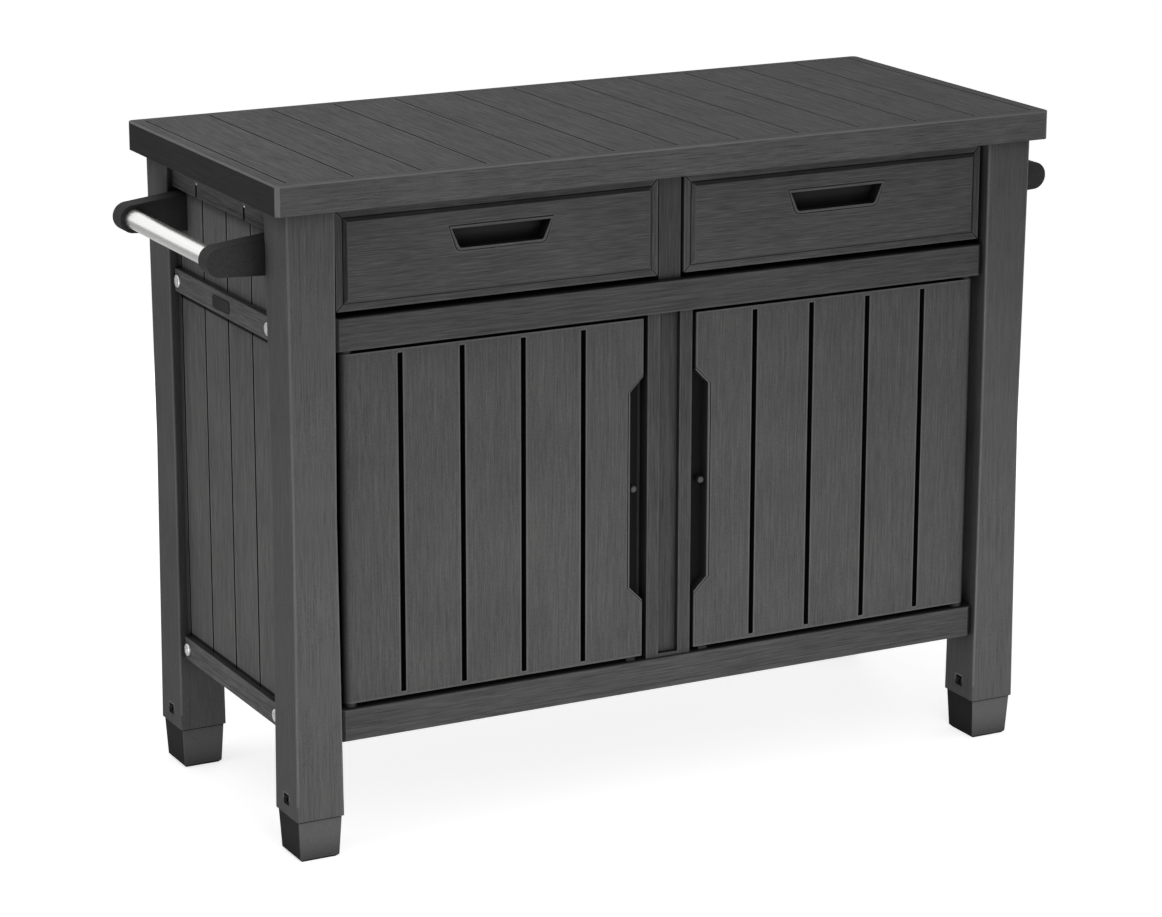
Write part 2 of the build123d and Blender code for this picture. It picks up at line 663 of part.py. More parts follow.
def shelf_cleat():
    """The right-hand bearer under the shelf, fixed to the side panel."""
    half = between_legs_y(SHELF_HEIGHT - CLEAT_HEIGHT, SHELF_HEIGHT)
    profile = Polyline((PANEL_IN, SHELF_HEIGHT), (PANEL_IN - CLEAT_WIDTH, SHELF_HEIGHT),
                       (PANEL_IN - CLEAT_WIDTH, SHELF_HEIGHT - CLEAT_HEIGHT / 2),
                       (PANEL_IN, SHELF_HEIGHT - CLEAT_HEIGHT), close=True)
    return extrude(Plane.XZ * make_face(profile), half, both=True)


# Handles

def arm_inner():
    """Y of the face of a handle arm that holds the tube."""
    return arm_outer() - ARM_THICKNESS


def arm_outer():
    """Y of the face of a handle arm that lies along a leg."""
    return between_legs_y(HANDLE_LEVEL - ARM_BASE_DOWN, HANDLE_LEVEL + ARM_BASE_UP)


def arm_screw_places():
    """Y and Z of the screws that hold the arms to a side panel."""
    y = arm_outer() - ARM_THICKNESS / 2
    return [(side * y, HANDLE_LEVEL + rise) for side in (-1, 1)
            for rise in (-ARM_SCREW_SPACING / 2, ARM_SCREW_SPACING / 2)]


def handle_arm(side):
    """A right-hand arm: a tapered plate with a round end and a blind socket for the tube."""
    end_x = PANEL_OUT + HANDLE_REACH
    end = Pos(end_x, HANDLE_LEVEL) * Circle(ARM_END_RADIUS)
    base = Polyline((PANEL_OUT, HANDLE_LEVEL - ARM_BASE_DOWN), (PANEL_OUT, HANDLE_LEVEL + ARM_BASE_UP))
    outline = make_hull(end.edges() + base.edges())
    y0, y1 = sorted((side * arm_inner(), side * arm_outer()))
    arm = Pos(0, y1, 0) * extrude(Plane.XZ * outline, y1 - y0)
    rims = arm.faces().filter_by(Axis.Y).edges().filter_by(lambda edge: edge.center().X > PANEL_OUT + FIT)
    arm = fillet(rims, ARM_EDGE_RADIUS)
    arm -= rod_y(end_x, side * arm_inner(), side * (arm_inner() + TUBE_SOCKET), HANDLE_LEVEL,
                 TUBE_RADIUS + FIT)
    for y, z in arm_screw_places():
        arm -= rod_x(PANEL_OUT, PANEL_OUT + SCREW_BITE + SCREW_CORE_GAP, y, z, SCREW_RADIUS + PRESS_FIT)
    return arm


def handle_tube():
    """The right-hand bar, a bare metal tube held between two arms."""
    half = arm_inner() + TUBE_SOCKET - FIT
    x = PANEL_OUT + HANDLE_REACH
    return rod_y(x, -half, half, HANDLE_LEVEL, TUBE_RADIUS) - rod_y(x, -half, half, HANDLE_LEVEL,
                                                                    TUBE_RADIUS - TUBE_WALL)


def handle_screws():
    """Screws from inside the cabinet, through the side panel into each arm."""
    piece = Rot(0, 90, 0) * screw(PANEL_THICKNESS + SCREW_BITE)
    right = [Pos(PANEL_IN, y, z) * piece for y, z in arm_screw_places()]
    return group(right + [mirror(one, about=Plane.YZ) for one in right])


# Doors

def scoop_face(y, growth):
    """The outline of the finger scoop in the inner edge of the right-hand door, at a depth."""
    half = SCOOP_HEIGHT / 2 + growth
    flat = half - SCOOP_DEPTH - growth
    edge = DOOR_INNER
    bottom = edge + SCOOP_DEPTH + growth
    outline = Polyline((edge, DOOR_MIDDLE - half), (bottom, DOOR_MIDDLE - flat),
                       (bottom, DOOR_MIDDLE + flat), (edge, DOOR_MIDDLE + half), close=True)
    return Pos(0, y, 0) * (Plane.XZ * make_face(outline))


def scoop(front, deep, growth):
    return extrude(scoop_face(front + deep, growth), deep)


def door_moulding():
    """The right-hand door's face: boards parted by deep slots, hollow behind each board."""
    front = DOOR_FRONT
    back = COVER_FRONT
    slab = block(DOOR_INNER, PIVOT_X, front, back, DOOR_BOTTOM, DOOR_TOP)
    inner = slab.edges().filter_by(Axis.Z).sort_by(Axis.Y)[:2].sort_by(Axis.X)[0]
    slab = fillet(inner, DOOR_EDGE_RADIUS)
    slab += rod_z(PIVOT_X, PIVOT_Y, DOOR_BOTTOM, DOOR_TOP, PIVOT_RADIUS)
    slab -= [block(x - SLOT_WIDTH / 2, x + SLOT_WIDTH / 2, front, back - DOOR_SKIN, DOOR_BOTTOM + SLOT_END,
                   DOOR_TOP - SLOT_END) for x in SLOT_X]
    wall = SLOT_WIDTH / 2 + DOOR_WALL
    starts = [DOOR_INNER + SCOOP_DEPTH + SCOOP_RIM + DOOR_WALL] + [x + wall for x in SLOT_X]
    ends = [x - wall for x in SLOT_X] + [PIVOT_X - PIVOT_RADIUS - DOOR_WALL]
    slab -= [block(x0, x1, front + DOOR_SKIN, back, DOOR_BOTTOM + SLOT_END, DOOR_TOP - SLOT_END)
             for x0, x1 in zip(starts, ends)]
    slab -= scoop(front, DOOR_MOULDING, 0)
    slab -= loft([scoop_face(front, SCOOP_RIM), scoop_face(front + SCOOP_RIM_FALL, 0)], ruled=True)
    slab -= scoop(front, SCOOP_LINE, SCOOP_RIM + SCOOP_LINE) - scoop(front, SCOOP_LINE, SCOOP_RIM)
    for z0, z1 in ((DOOR_BOTTOM, DOOR_BOTTOM + PIN_GRIP), (DOOR_TOP - PIN_GRIP, DOOR_TOP)):
        slab -= rod_z(PIVOT_X, PIVOT_Y, z0, z1, PIN_RADIUS + PRESS_FIT)
    return slab


def door_cover():
    """The flat lining that closes the right-hand door and floors the finger scoop."""
    return block(DOOR_INNER, PIVOT_X - PIVOT_RADIUS - FIT, COVER_FRONT, DOOR_BACK, DOOR_BOTTOM, DOOR_TOP)


def door_peg():
    x = DOOR_INNER + PEG_INSET
    peg = rod_y(x, COVER_FRONT - PEG_LENGTH, COVER_FRONT, DOOR_MIDDLE, PEG_RADIUS)
    return fillet(peg.faces().sort_by(Axis.Y)[0].edges(), PEG_RADIUS / 2)


def pivot_pin(door_edge, rail_edge, up):
    """A pin in the end of the right-hand door, with a collar in the gap to the rail."""
    pin = rod_z(PIVOT_X, PIVOT_Y, door_edge - up * PIN_GRIP, rail_edge + up * PIN_REACH, PIN_RADIUS)
    return pin + rod_z(PIVOT_X, PIVOT_Y, door_edge, rail_edge - up * FIT, COLLAR_RADIUS)


def door_pins():
    return group([pivot_pin(DOOR_TOP, MID_RAIL_BOTTOM, 1), pivot_pin(DOOR_BOTTOM, LOW_RAIL_TOP, -1)])


def door_catches():
    """Low ramps on the bottom rail under the free corner of each door."""
    x = DOOR_INNER + CATCH_OFFSET
    piece = block(x - CATCH_LENGTH / 2, x + CATCH_LENGTH / 2, PIVOT_Y - CATCH_WIDTH, PIVOT_Y,
                  LOW_RAIL_TOP, DOOR_BOTTOM - FIT)
    piece = chamfer(piece.faces().sort_by(Axis.Z)[-1].edges(), CATCH_BEVEL)
    return group([piece, mirror(piece, about=Plane.YZ)])


# Drawers

def pull_outline(growth):
    """The finger pull's outline: wide at the top, with rounded lower corners."""
    half = PULL_HEIGHT / 2 + growth
    top = PULL_TOP_WIDTH / 2 + growth
    bottom = PULL_BOTTOM_WIDTH / 2 + growth
    face = make_face(Polyline((-top, half), (top, half), (bottom, -half), (-bottom, -half), close=True))
    corners = face.vertices().sort_by(Axis.Y)[:2]
    return fillet(corners, PULL_CORNER_RADIUS + growth)


def pull_prism(front, deep, growth):
    outline = Plane.XZ * (Pos(DRAWER_X, PULL_LEVEL) * pull_outline(growth))
    return Pos(0, front + deep, 0) * extrude(outline, deep)


def upright_rectangle(y, inset):
    """The right-hand drawer front's outline at a depth, drawn in by an inset."""
    size = Rectangle(DRAWER_OUTER - DRAWER_INNER - 2 * inset, DRAWER_TOP - DRAWER_BOTTOM - 2 * inset)
    middle = (DRAWER_TOP + DRAWER_BOTTOM) / 2
    return Pos(0, y, 0) * (Plane.XZ * (Pos(DRAWER_X, middle) * size))


def mitre_lines(front):
    """Fine grooves across the corners of the right-hand drawer front's frame."""
    middle = (DRAWER_TOP + DRAWER_BOTTOM) / 2
    reach_x = (DRAWER_OUTER - DRAWER_INNER - FRAME_WIDTH) / 2
    reach_z = (DRAWER_TOP - DRAWER_BOTTOM - FRAME_WIDTH) / 2
    line = Box(FRAME_WIDTH * 2 ** 0.5, MITRE_DEPTH, MITRE_WIDTH)
    return [Pos(DRAWER_X + i * reach_x, front + MITRE_DEPTH / 2, middle + k * reach_z)
            * Rot(0, -i * k * MITRE_ANGLE, 0) * line for i in (-1, 1) for k in (-1, 1)]


def drawer_front():
    """The right-hand drawer's face: a mitred frame round a bevelled field with a finger pull."""
    frame = DOOR_FRONT
    field = frame - FIELD_RISE
    face = block(DRAWER_INNER, DRAWER_OUTER, frame, DRAWER_BACKING, DRAWER_BOTTOM, DRAWER_TOP)
    face -= mitre_lines(frame)
    face += loft([upright_rectangle(frame, FRAME_WIDTH), upright_rectangle(field, FRAME_WIDTH + FIELD_BEVEL)],
                 ruled=True)
    face -= pull_prism(field, PULL_LINE, PULL_LINE)
    face += pull_prism(field - PULL_RIM_RISE, PULL_RIM_RISE + FIELD_RISE, 0)
    face -= pull_prism(field - PULL_RIM_RISE, PULL_RIM_RISE + PULL_DEPTH, -PULL_RIM)
    finger = PULL_LEVEL + PULL_HEIGHT / 2
    reach = PULL_BOTTOM_WIDTH / 2
    face -= block(DRAWER_X - reach, DRAWER_X + reach, field + PULL_UNDERCUT, field + PULL_DEPTH,
                  PULL_LEVEL, finger + PULL_UNDERCUT)
    margin = PULL_TOP_WIDTH / 2 + 2 * DRAWER_WALL
    ends = ((DRAWER_INNER + DRAWER_WALL, DRAWER_X - margin), (DRAWER_X + margin, DRAWER_OUTER - DRAWER_WALL))
    for x0, x1 in ends:
        face -= [block(c0, c1, frame + DRAWER_WALL, DRAWER_BACKING, DRAWER_BOTTOM + DRAWER_WALL,
                       DRAWER_TOP - DRAWER_WALL) for c0, c1 in cells(x0, x1, 2, SCREW_COLUMN)]
    for x, z in drawer_screw_places():
        face -= rod_y(x, DRAWER_BACKING - SCREW_BITE - SCREW_CORE_GAP, DRAWER_BACKING, z,
                      SCREW_RADIUS + PRESS_FIT)
    return face


def drawer_screw_places():
    """X and Z of the screws from the drawer box into its front, in the solid columns."""
    margin = PULL_TOP_WIDTH / 2 + 2 * DRAWER_WALL
    reach = (DRAWER_X - margin + DRAWER_INNER + DRAWER_WALL) / 2
    middle = BOX_BOTTOM + DRAWER_HEIGHT / 2
    rise = DRAWER_HEIGHT / 2 - SCREW_INSET / 2
    return [(x, middle + z) for x in (reach, 2 * DRAWER_X - reach) for z in (-rise, rise)]


def drawer_box():
    """The right-hand drawer's open box, with a flange along each side for the runners."""
    x0 = FLANGE_INNER + FLANGE_WIDTH
    x1 = FLANGE_OUTER - FLANGE_WIDTH
    y0 = DRAWER_BACKING
    y1 = BACK_IN - DRAWER_BACK_GAP
    wall = DRAWER_WALL
    box = block(x0, x1, y0, y1, BOX_BOTTOM, BOX_BOTTOM + DRAWER_HEIGHT)
    box -= block(x0 + wall, x1 - wall, y0 + wall, y1 - wall, BOX_BOTTOM + wall, BOX_BOTTOM + DRAWER_HEIGHT)
    box += block(FLANGE_INNER, x0, y0, y1, BOX_BOTTOM, BOX_BOTTOM + FLANGE_THICKNESS)
    box += block(x1, FLANGE_OUTER, y0, y1, BOX_BOTTOM, BOX_BOTTOM + FLANGE_THICKNESS)
    for x, z in drawer_screw_places():
        box -= rod_y(x, y0, y0 + wall, z, SCREW_RADIUS + PRESS_FIT)
    return box


def drawer_screws():
    piece = Rot(90, 0, 0) * screw(DRAWER_WALL + SCREW_BITE)
    return group(Pos(x, DRAWER_BACKING + DRAWER_WALL, z) * piece for x, z in drawer_screw_places())


def drawer_runner(back_x, web_x):
    """A C-shaped runner: its web stands against what carries it and its ledges hold the flange."""
    inward = 1 if web_x > back_x else -1
    y0 = LEG_FRONT + RUNNER_SETBACK
    y1 = BACK_IN - RUNNER_BACK_GAP
    floor = BOX_BOTTOM - FIT
    roof = BOX_BOTTOM + FLANGE_THICKNESS + FIT
    tip = web_x + inward * RUNNER_LEDGE_WIDTH
    runner = block(back_x, web_x, y0, y1, floor - RUNNER_LEDGE, floor - RUNNER_LEDGE + RUNNER_HEIGHT)
    runner += block(web_x, tip, y0, y1, floor - RUNNER_LEDGE, floor)
    return runner + block(web_x, tip, y0, y1, roof, roof + RUNNER_LEDGE)


def outer_runner():
    top = BOX_BOTTOM + RUNNER_HEIGHT
    return drawer_runner(between_legs_x(BOX_BOTTOM - RUNNER_HEIGHT, top), FLANGE_OUTER + FLANGE_SIDE_GAP)


def inner_runner():
    return drawer_runner(DIVIDER_WIDTH / 2, DIVIDER_WIDTH / 2 + RUNNER_LEDGE)


def main():
    os.makedirs("parts", exist_ok=True)
    save("table_top", table_top())
    save_pair("front_leg", leg(-1))
    save_pair("rear_leg", leg(1))
    save_pair("front_foot", foot(-1))
    save_pair("rear_foot", foot(1))
    save("front_mid_rail", pivot_hole(channel_rail(RAIL_FRONT, MID_RAIL_BOTTOM), MID_RAIL_BOTTOM, 1))
    save("front_bottom_rail", pivot_hole(channel_rail(RAIL_FRONT, FLOOR_CLEARANCE), LOW_RAIL_TOP, -1))
    save("rear_bottom_rail", mirror(channel_rail(-BACK_IN, FLOOR_CLEARANCE), about=Plane.XZ))
    save("rear_upper_rail", rear_upper_rail())
    save_pair("side_upper_rail", side_upper_rail())
    save_pair("side_mid_rail", side_rail(SIDE_MID_RAIL))
    save_pair("side_lower_rail", side_rail(SIDE_LOW_RAIL))
    save_pair("side_panel", side_panel())
    save("back_panel", back_panel())
    save("floor_panel", tray(DOOR_BACK + STOP_GAP + STILE_WALL + FIT, LOW_RAIL_TOP, FIT))
    save("shelf", tray(LEG_FRONT + SHELF_SETBACK, SHELF_HEIGHT, FIT))
    save_pair("shelf_cleat", shelf_cleat())
    save("centre_stile", centre_stile())
    save("drawer_divider", drawer_divider())
    save_pair("outer_runner", outer_runner())
    save_pair("inner_runner", inner_runner())
    save_pair("front_handle_arm", handle_arm(-1))
    save_pair("rear_handle_arm", handle_arm(1))
    save_pair("handle_tube", handle_tube())
    save("handle_screws", handle_screws())
    save("rail_bolts", on_both_sides(rail_bolt(), SIDE_RAIL_OUT))
    save("sleeve_nuts", on_both_sides(sleeve_nut(), PANEL_OUT))
    save("top_screws", top_screws())
    save("door_catches", door_catches())
    save_pair("door_moulding", door_moulding())
    save_pair("door_cover", door_cover())
    save_pair("door_peg", door_peg())
    save_pair("door_pins", door_pins())
    save_pair("drawer_front", drawer_front())
    save_pair("drawer_box", drawer_box())
    save_pair("drawer_screws", drawer_screws())


main()
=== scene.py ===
# %% [markdown]
# # An outdoor buffet cabinet in grained resin
#
# The solids of the cabinet arrive finished, in metres, each at its own place. This lesson gives them
# their surfaces, adds one small piece of trim that the solids leave out, and sets up a plain studio to
# see them in.

# %% Load the cabinet
import math
import bpy
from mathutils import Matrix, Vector


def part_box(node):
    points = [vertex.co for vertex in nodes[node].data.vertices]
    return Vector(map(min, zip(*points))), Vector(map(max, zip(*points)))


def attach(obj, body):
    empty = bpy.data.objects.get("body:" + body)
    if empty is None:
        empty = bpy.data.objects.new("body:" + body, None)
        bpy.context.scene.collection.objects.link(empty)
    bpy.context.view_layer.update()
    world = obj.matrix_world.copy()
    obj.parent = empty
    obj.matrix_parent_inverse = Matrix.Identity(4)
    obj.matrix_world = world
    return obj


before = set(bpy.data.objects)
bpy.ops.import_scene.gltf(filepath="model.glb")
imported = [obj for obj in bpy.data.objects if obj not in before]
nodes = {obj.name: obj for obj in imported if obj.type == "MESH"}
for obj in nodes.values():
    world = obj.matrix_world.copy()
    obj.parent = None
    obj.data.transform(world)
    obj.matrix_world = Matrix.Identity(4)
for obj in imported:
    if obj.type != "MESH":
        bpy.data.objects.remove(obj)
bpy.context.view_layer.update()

# %% [markdown]
# ## Where we stand
#
# The picture was taken from the front left, a little above the worktop, with a long lens, so upright
# edges stay almost parallel. A camera could be aimed at an empty by a constraint. Here its place and
# angles were worked out from the cabinet's own straight edges, so they are simply written down. The
# three angles tilt the camera down, level it and turn it to the cabinet.

# %% Camera
CAMERA_PLACE = (-2.5420, -4.8162, 1.9672)
CAMERA_ANGLES = (74.4333, -0.0939, -27.6418)
SENSOR_WIDTH = 36.0
FOCAL_LENGTH = 117.53
CABINET_MIDDLE = Vector((0, 0, 0.5))
bpy.ops.object.select_all(action="DESELECT")
turns = [math.radians(angle) for angle in CAMERA_ANGLES]
bpy.ops.object.camera_add(location=CAMERA_PLACE, rotation=turns)
camera = bpy.context.object
camera.name = "picture_camera"
camera.data.sensor_width = SENSOR_WIDTH
camera.data.lens = FOCAL_LENGTH
bpy.context.scene.camera = camera
print("camera", round((camera.location - CABINET_MIDDLE).length, 2), "m from the cabinet")

# %% [markdown]
# ## Nodes without tears
#
# Every surface below is a small graph of nodes. It could be wired by hand in the shader editor, but a
# script can be read, and its values changed in one place. One helper adds a node, sets its options and
# fills its sockets: a socket given another node's output is linked, and one given a number just takes
# it. Five short ones stand for the nodes that are used most. Colours are written as on a paint card, in
# sRGB hex, and turned to the linear values that light needs.

# %% Helpers for nodes
def linear(code):
    """A hex colour as linear red, green, blue and alpha."""
    parts = [int(code[i:i + 2], 16) / 255 for i in (1, 3, 5)]
    return [v / 12.92 if v <= 0.04045 else ((v + 0.055) / 1.055) ** 2.4 for v in parts] + [1.0]


def add(tree, kind, sockets=None, **options):
    """Adds a node, with its options set and its sockets filled or linked."""
    node = tree.nodes.new(kind)
    for name, value in options.items():
        setattr(node, name, value)
    for socket, value in (sockets or {}).items():
        if isinstance(value, bpy.types.NodeSocket):
            tree.links.new(value, node.inputs[socket])
        else:
            node.inputs[socket].default_value = value
    return node


def calc(tree, operation, *values):
    """One sum, comparison or the like, of up to three values."""
    return add(tree, "ShaderNodeMath", dict(enumerate(values)), operation=operation).outputs[0]


def spread(tree, value, start, end, low=0.0, high=1.0):
    """A number that goes from low to high while a value goes from start to end."""
    return add(tree, "ShaderNodeMapRange", {"Value": value, "From Min": start, "From Max": end,
                                            "To Min": low, "To Max": high}).outputs[0]


def blend(tree, share, first, second):
    """A number between two numbers."""
    return add(tree, "ShaderNodeMix", {0: share, 2: first, 3: second}).outputs[0]


def tone(tree, share, first, second):
    """A colour between two colours."""
    return add(tree, "ShaderNodeMix", {0: share, 6: first, 7: second}, data_type="RGBA").outputs[2]


def speckle(tree, place, size, detail):
    """Noise with lumps of a size, in the units of the place, as a value around a half."""
    return add(tree, "ShaderNodeTexNoise",
               {"Vector": place, "Scale": 1 / size, "Detail": detail}).outputs["Fac"]


print("half grey on the card is", round(linear("#808080")[0], 3), "in linear light")


# %% Helpers for materials
def blank_material(name):
    """A new material, its empty graph, and the place of each point in it, in metres."""
    material = bpy.data.materials.new(name)
    material.use_nodes = True
    tree = material.node_tree
    tree.nodes.clear()
    return material, tree, add(tree, "ShaderNodeTexCoord").outputs["Object"]


def dress(material, *names):
    """Gives a material to every solid whose name starts with one of these words."""
    chosen = [solid for name, solid in nodes.items() if name.startswith(names)]
    for solid in chosen:
        solid.data.materials.clear()
        solid.data.materials.append(material)
    print(material.name, "on", len(chosen), "solids")


# %% [markdown]
# ## The studio
#
# White paper all round: a pale floor that keeps the shadow, and a white surround. Paper lit until it is
# white would be the real way, but that much light would also wash out the dark resin. So the floor glows
# a little to the camera, and more where the lamps no longer reach, and the surround shows white to the
# camera and in the metal bars, but lights the cabinet less. The grey resin then keeps its own tone on a
# page that is white to its edges.

# %% Floor
WHITE = "#ffffff"
PAPER = "#f0f0f0"
FLOOR_SIZE = 60
FLOOR_DROP = 0.0003
GLOW_NEAR = 0.58
GLOW_FAR = 0.66
GLOW_IN_METAL = 0.10
NEAR = 1.2
FAR = 3.5
bpy.context.scene.view_settings.view_transform = "Standard"

bpy.ops.object.select_all(action="DESELECT")
bpy.ops.mesh.primitive_plane_add(size=FLOOR_SIZE, location=(0, 0, -FLOOR_DROP))
floor = bpy.context.object
floor.name = "studio_floor"
paper, tree, place = blank_material("white_paper")
path = add(tree, "ShaderNodeLightPath").outputs
seen = calc(tree, "MAXIMUM", path["Is Camera Ray"], path["Is Glossy Ray"])
matt = add(tree, "ShaderNodeBsdfDiffuse", {"Color": linear(PAPER)})
away = add(tree, "ShaderNodeVectorMath", {0: place}, operation="LENGTH").outputs["Value"]
lift = spread(tree, away, NEAR, FAR, GLOW_NEAR, GLOW_FAR)
strength = calc(tree, "MULTIPLY_ADD", path["Is Camera Ray"], lift, GLOW_IN_METAL)
glow = add(tree, "ShaderNodeEmission", {"Color": linear(WHITE), "Strength": strength})
lit = add(tree, "ShaderNodeAddShader", {0: matt.outputs[0], 1: glow.outputs[0]})
either = add(tree, "ShaderNodeMixShader", {0: seen, 1: matt.outputs[0], 2: lit.outputs[0]})
add(tree, "ShaderNodeOutputMaterial", {"Surface": either.outputs[0]})
floor.data.materials.append(paper)
print("floor", floor.name)

# %% Surround
LIGHT_STRENGTH = 0.29
SHOWN_STRENGTH = 1.0
world = bpy.data.worlds.new("white_surround")
bpy.context.scene.world = world
world.use_nodes = True
tree = world.node_tree
tree.nodes.clear()
path = add(tree, "ShaderNodeLightPath").outputs
shown = calc(tree, "MAXIMUM", path["Is Camera Ray"], path["Is Glossy Ray"])
shown = calc(tree, "MAXIMUM", shown, path["Is Transmission Ray"])
lighting = add(tree, "ShaderNodeBackground", {"Color": linear(WHITE), "Strength": LIGHT_STRENGTH})
backdrop = add(tree, "ShaderNodeBackground", {"Color": linear(WHITE), "Strength": SHOWN_STRENGTH})
either = add(tree, "ShaderNodeMixShader", {0: shown, 1: lighting.outputs[0], 2: backdrop.outputs[0]})
add(tree, "ShaderNodeOutputWorld", {"Surface": either.outputs[0]})
print("surround", world.name)

# %% [markdown]
# In the picture the cabinet's faces grow lighter towards the floor, as they do when most light comes back
# from the paper. One large lamp overhead would turn that round. So one lamp looks down at the paper in
# front, low ones stand round the cabinet, and two weak ones above see to the worktop.

# %% Lamps
def soft_lamp(name, place, aim, size, power):
    """A soft box, wide and high as given, that looks at a point. Its power is in watts."""
    bpy.ops.object.select_all(action="DESELECT")
    turn = (Vector(aim) - Vector(place)).to_track_quat("-Z", "Y").to_euler()
    bpy.ops.object.light_add(type="AREA", location=place, rotation=turn)
    lamp = bpy.context.object
    lamp.name = name
    lamp.data.shape = "RECTANGLE"
    lamp.data.size, lamp.data.size_y = size
    lamp.data.energy = power


soft_lamp("floor_lamp", (-0.2, -1.5, 0.5), aim=(-0.2, -1.2, 0), size=(1.4, 0.5), power=11.0)
soft_lamp("low_front_lamp", (-0.15, -1.6, 0.15), aim=(-0.05, 0, 0.3), size=(1.2, 0.2), power=8.5)
soft_lamp("corner_lamp", (0.75, -0.95, 0.1), aim=(0.56, -0.25, 0.12), size=(0.3, 0.1), power=1.5)
soft_lamp("low_left_lamp", (-2.2, -0.3, 0.14), aim=(-0.6, 0, 0.3), size=(1.0, 0.24), power=11)
soft_lamp("low_right_lamp", (2.2, 0.3, 0.14), aim=(0.6, 0, 0.3), size=(1.0, 0.24), power=11)
soft_lamp("low_back_lamp", (1.1, 2.2, 0.2), aim=(0, 0.2, 0.35), size=(1.2, 0.3), power=22)
soft_lamp("top_lamp", (-1.2, 0.2, 1.7), aim=(-0.6, 0, 0.95), size=(0.8, 0.6), power=3.0)
soft_lamp("overhead_lamp", (-0.4, 0.1, 2.7), aim=(-0.2, 0.1, 0.95), size=(1.6, 1.0), power=10)

# %% [markdown]
# ## Grained resin
#
# The cabinet is injection-moulded polypropylene, and its moulds are engraved with a brushed wood grain.
# So the colour hardly changes: what the eye reads as wood is a field of fine ridges, some long streaks
# and some short specks, that catch the light. A picture of wood would be the quick way, but it would
# stretch round corners. Noise that is stretched along one axis follows each board instead.
#
# Real ridges are about half a millimetre apart. A pixel of this picture covers more than that, so the
# ridges are drawn 1.4 mm apart here, just wide enough to show.

# %% One pattern, drawn along any axis
RIDGE_SPACING = 0.0014
SHORT_STREAK = 0.034
LONG_STREAK = 0.120
LONG_SHARE = 0.45


def stretched(tree, place, run, spacing, length):
    """The place of each point, scaled so that noise one unit in size is drawn out along an axis."""
    scale = [1 / spacing] * 3
    scale["XYZ".index(run)] = 1 / length
    return add(tree, "ShaderNodeMapping", {"Vector": place, "Scale": scale}).outputs[0]


def streaks(tree, place, run):
    """Short and long streaks along one axis, as a value around a half."""
    short, long = [speckle(tree, stretched(tree, place, run, RIDGE_SPACING, length), size=1.0, detail=1.0)
                   for length in (SHORT_STREAK, LONG_STREAK)]
    return blend(tree, LONG_SHARE, short, long)


def upright(tree, place):
    """Grain along Z."""
    return streaks(tree, place, "Z")


def across(tree, place):
    """Grain along X."""
    return streaks(tree, place, "X")


def front_to_back(tree, place):
    """Grain along Y."""
    return streaks(tree, place, "Y")


print("ridges", RIDGE_SPACING * 1000, "mm apart, streaks up to", LONG_STREAK * 1000, "mm long")

# %% [markdown]
# Outer edges get a painted highlight: they are turned pale, as rounded edges catch the light. They could
# be found by how sharply the mesh turns, but these meshes are loose triangles. Looking into the material
# instead works: close to an outer edge, the other face is met within a few millimetres. Looking out into
# the air finds the opposite, the creases and gaps where shade falls, and painted shade turns them dark.

# %% Painted edge highlights and crease shade
EDGE_REACH = 0.0028
EDGE_RANGE = (0.97, 0.85)
CREASE_REACH = 0.040
CREASE_RANGE = (0.08, 0.98)
LOOKS = 6
# The colour of the painted highlight on outer edges.
EDGE_HIGHLIGHT = "#8a8a8a"
# The near-black of the painted shade in creases and gaps.
CREASE_SHADE = "#070707"


def paint_edge_highlights(tree, place, colour, highlight_share, highlight_from):
    """The colour, turned pale by a share at outer edges above a height: a painted highlight."""
    solid = add(tree, "ShaderNodeAmbientOcclusion", {"Distance": EDGE_REACH},
                inside=True, only_local=True, samples=LOOKS)
    lit_edge = spread(tree, solid.outputs["AO"], *EDGE_RANGE, high=highlight_share)
    height = add(tree, "ShaderNodeSeparateXYZ", {0: place}).outputs["Z"]
    lit_edge = calc(tree, "MULTIPLY", lit_edge, calc(tree, "GREATER_THAN", height, highlight_from))
    return tone(tree, lit_edge, colour, linear(EDGE_HIGHLIGHT))


def paint_crease_shade(tree, colour):
    """The colour, darkened by painted shade where the air is closed in."""
    air = add(tree, "ShaderNodeAmbientOcclusion", {"Distance": CREASE_REACH}, samples=LOOKS)
    return tone(tree, spread(tree, air.outputs["AO"], *CREASE_RANGE), linear(CREASE_SHADE), colour)


print("edges are looked for", EDGE_REACH * 1000, "mm deep, creases", CREASE_REACH * 1000, "mm out")

# %% [markdown]
# The resin itself is put together from these: two greys mixed by the grain, outer edges with a painted
# highlight, a few places with painted shade or a painted highlight, creases with painted shade, and a
# relief that follows the ridges.

# %% Resin with grain
RESIN_IOR = 1.49
RESIN_GLOSS = 0.07
SPECK_SIZE = 0.0012
PATCH_SIZE = 0.120
PATCH_SHARE = 0.12
TINT_RANGE = (0.34, 0.66)
NOISE_RANGE = (0.3, 0.7)
GRAIN_ROUGHNESS = (0.74, 0.58)
RIDGE_STRENGTH = 0.6
RIDGE_DEPTH = 0.0006


def resin_skin(tree, colour, rough, relief, strength, depth, gloss):
    """The shader of resin with a relief on it, led to the graph's output."""
    bump = add(tree, "ShaderNodeBump", {"Height": relief, "Strength": strength, "Distance": depth})
    skin = add(tree, "ShaderNodeBsdfPrincipled",
               {"Base Color": colour, "Roughness": rough, "IOR": RESIN_IOR,
                "Specular IOR Level": gloss, "Normal": bump.outputs[0]})
    add(tree, "ShaderNodeOutputMaterial", {"Surface": skin.outputs[0]})


